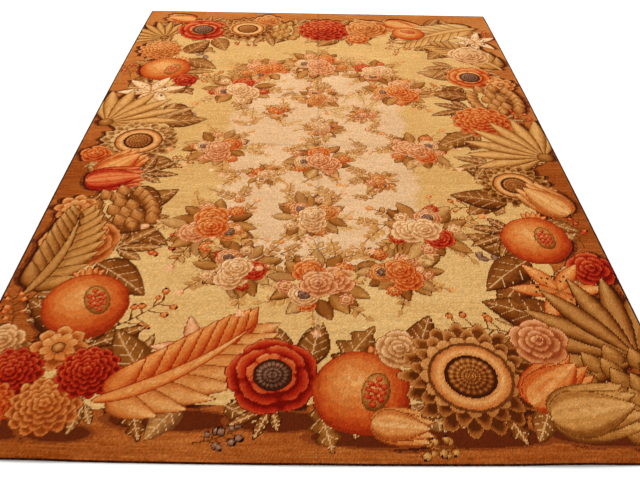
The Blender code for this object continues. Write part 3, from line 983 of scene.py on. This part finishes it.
def bump(tree, height, distance):
    node = tree.nodes.new("ShaderNodeBump")
    node.inputs["Distance"].default_value = distance
    plug(tree, height, node.inputs["Height"])
    return node.outputs[0]


def vector(tree, x, y):
    node = tree.nodes.new("ShaderNodeCombineXYZ")
    plug(tree, x, node.inputs[0])
    plug(tree, y, node.inputs[1])
    return node.outputs[0]


def tentStitches(tree, u, v):
    # a stitch runs up one row for each column, so the yarn's own axes are u and v - u
    return u, sums(tree, "ADD", sums(tree, "SUBTRACT", v, u), 0.5)


def wraps(tree, u, v):
    return v, u


def strandWool(name, yarnAxes, strands, twist, endDip, hollowShade, relief, roughness):
    # wool whose strands follow the UV map, in the colour that each face carries, with painted shade in the
    # hollows and a painted highlight on the crowns
    material, tree, shader = newMaterial(name, roughness)
    counted = tree.nodes.new("ShaderNodeUVMap")
    counted.uv_map = "strands"
    split = tree.nodes.new("ShaderNodeSeparateXYZ")
    plug(tree, counted.outputs[0], split.inputs[0])
    yarn = tree.nodes.new("ShaderNodeAttribute")
    yarn.attribute_name = "yarn"
    along, across = yarnAxes(tree, split.outputs[0], split.outputs[1])
    strand = placeGroup(tree, strandRelief, Along=along, Across=across, Strands=strands, Twist=twist,
                        End_Dip=endDip)
    fibres = vector(tree, sums(tree, "MULTIPLY", along, 2.5 * twist),
                    sums(tree, "MULTIPLY", across, 5.0 * strands))
    wool = placeGroup(tree, woolTone, Colour=yarn.outputs["Color"], Yarn_Place=fibres,
                      Room_Place=tree.nodes.new("ShaderNodeTexCoord").outputs["Object"])
    # painted highlight: the crowns of the stitches made lighter; painted shade: the hollows made darker
    crown = blendColours(tree, 1.0, wool["Colour"], (1.12, 1.11, 1.09, 1.0), "MULTIPLY")
    hollow = blendColours(tree, 1.0, wool["Colour"], hollowShade, "MULTIPLY")
    plug(tree, blendColours(tree, strand["Hollow"], crown, hollow), shader["Base Color"])
    raised = sums(tree, "MULTIPLY_ADD", wool["Fuzz"], 0.10, strand["Height"])
    plug(tree, bump(tree, raised, relief), shader["Normal"])
    return material


workedWool = strandWool("workedWool", tentStitches, 3.0, 2.0, 0.5, (0.50, 0.42, 0.36, 1.0), 0.0014, 0.95)
whippedWool = strandWool("whippedWool", wraps, 2.0, 6.0, 0.0, (0.35, 0.32, 0.30, 1.0), 0.0007, 0.9)


def canvasBack():
    # the plain back: short runs of wool between the canvas threads, with painted shade in the hollows between
    # them
    material, tree, shader = newMaterial("canvasBack", 0.95)
    place = tree.nodes.new("ShaderNodeTexCoord").outputs["Object"]
    split = tree.nodes.new("ShaderNodeSeparateXYZ")
    plug(tree, place, split.inputs[0])
    along, across = (sums(tree, "DIVIDE", split.outputs[k], pitch) for k in (1, 0))
    runs = placeGroup(tree, strandRelief, Along=along, Across=across, Strands=2.0, Twist=3.0, End_Dip=0.6)
    fibres = vector(tree, sums(tree, "MULTIPLY", along, 3.0), sums(tree, "MULTIPLY", across, 9.0))
    wool = placeGroup(tree, woolTone, Colour=(0.46, 0.33, 0.19, 1.0), Yarn_Place=fibres, Room_Place=place,
                      Dust=0.12)
    hollow = blendColours(tree, 1.0, wool["Colour"], (0.4, 0.33, 0.26, 1.0), "MULTIPLY")
    plug(tree, blendColours(tree, runs["Hollow"], wool["Colour"], hollow), shader["Base Color"])
    plug(tree, bump(tree, runs["Height"], 0.0008), shader["Normal"])
    return material


backing = canvasBack()
for panel in panels:
    panel.data.materials.append(workedWool)
    panel.data.materials.append(backing)
edge.data.materials.append(whippedWool)
print("finishes made")

# Floor, light and camera

studio = {
    "floorColour": (0.88, 0.875, 0.865, 1.0),
    "floorHalf": 7,
    "floorDrop": 0.0003,  # under the rug's underside
    "roomLight": 0.96,
    "softboxPower": 100.0,
    "softboxPlace": (-0.5, 1.1, 4.0),
    "softboxSize": 2.6,
}
view = {
    "lens": 37.007,  # for a 36 mm sensor
    "place": (-0.02253, -2.20974, 1.3799),
    "down": 39.967,  # degrees below the horizon, to the right and rolled
    "aside": 1.0046,
    "roll": 1.3748,
}


def makeStudio():
    floorMesh = bpy.data.meshes.new("paleFloor")
    half, low = studio["floorHalf"], -studio["floorDrop"]
    floorMesh.from_pydata([(-half, -half, low), (half, -half, low), (half, half, low), (-half, half, low)], [],
                          [(0, 1, 2, 3)])
    floor = bpy.data.objects.new("paleFloor", floorMesh)
    bpy.context.scene.collection.objects.link(floor)
    material, tree, shader = newMaterial("paleFloor", 0.7)
    shader["Base Color"].default_value = studio["floorColour"]
    floorMesh.materials.append(material)
    world = bpy.data.worlds.new("softRoom")
    world.use_nodes = True
    world.node_tree.nodes["Background"].inputs["Color"].default_value = (1.0, 0.99, 0.975, 1.0)
    world.node_tree.nodes["Background"].inputs["Strength"].default_value = studio["roomLight"]
    bpy.context.scene.world = world
    light = bpy.data.lights.new("softbox", "AREA")
    light.shape = "SQUARE"
    light.size = studio["softboxSize"]
    light.energy = studio["softboxPower"]
    softbox = bpy.data.objects.new("softbox", light)
    softbox.location = studio["softboxPlace"]
    bpy.context.scene.collection.objects.link(softbox)


def makeCamera():
    # right, up and backward axes from the three angles
    down, aside, roll = (np.radians(view[k]) for k in ("down", "aside", "roll"))
    forward = np.array((np.sin(aside) * np.cos(down), np.cos(aside) * np.cos(down), -np.sin(down)))
    right = np.array((np.cos(aside), -np.sin(aside), 0.0))
    up = np.cross(right, forward)
    right, up = np.cos(roll) * right + np.sin(roll) * up, np.cos(roll) * up - np.sin(roll) * right
    lens = bpy.data.cameras.new("photoView")
    lens.lens = view["lens"]
    lens.sensor_width = 36.0
    camera = bpy.data.objects.new("photoView", lens)
    turned = np.eye(4)
    turned[:3, 0], turned[:3, 1], turned[:3, 2], turned[:3, 3] = right, up, -forward, view["place"]
    camera.matrix_world = Matrix(turned.tolist())
    bpy.context.scene.collection.objects.link(camera)
    bpy.context.scene.camera = camera


makeStudio()
makeCamera()
bpy.context.scene.view_settings.view_transform = "Standard"
print("studio ready")

# What each piece stands for

for panel in panels:
    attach(panel, "root")
    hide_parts("needlepoint_cloth")
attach(edge, "root")
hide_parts("binding_near", "binding_far", "binding_left", "binding_right")
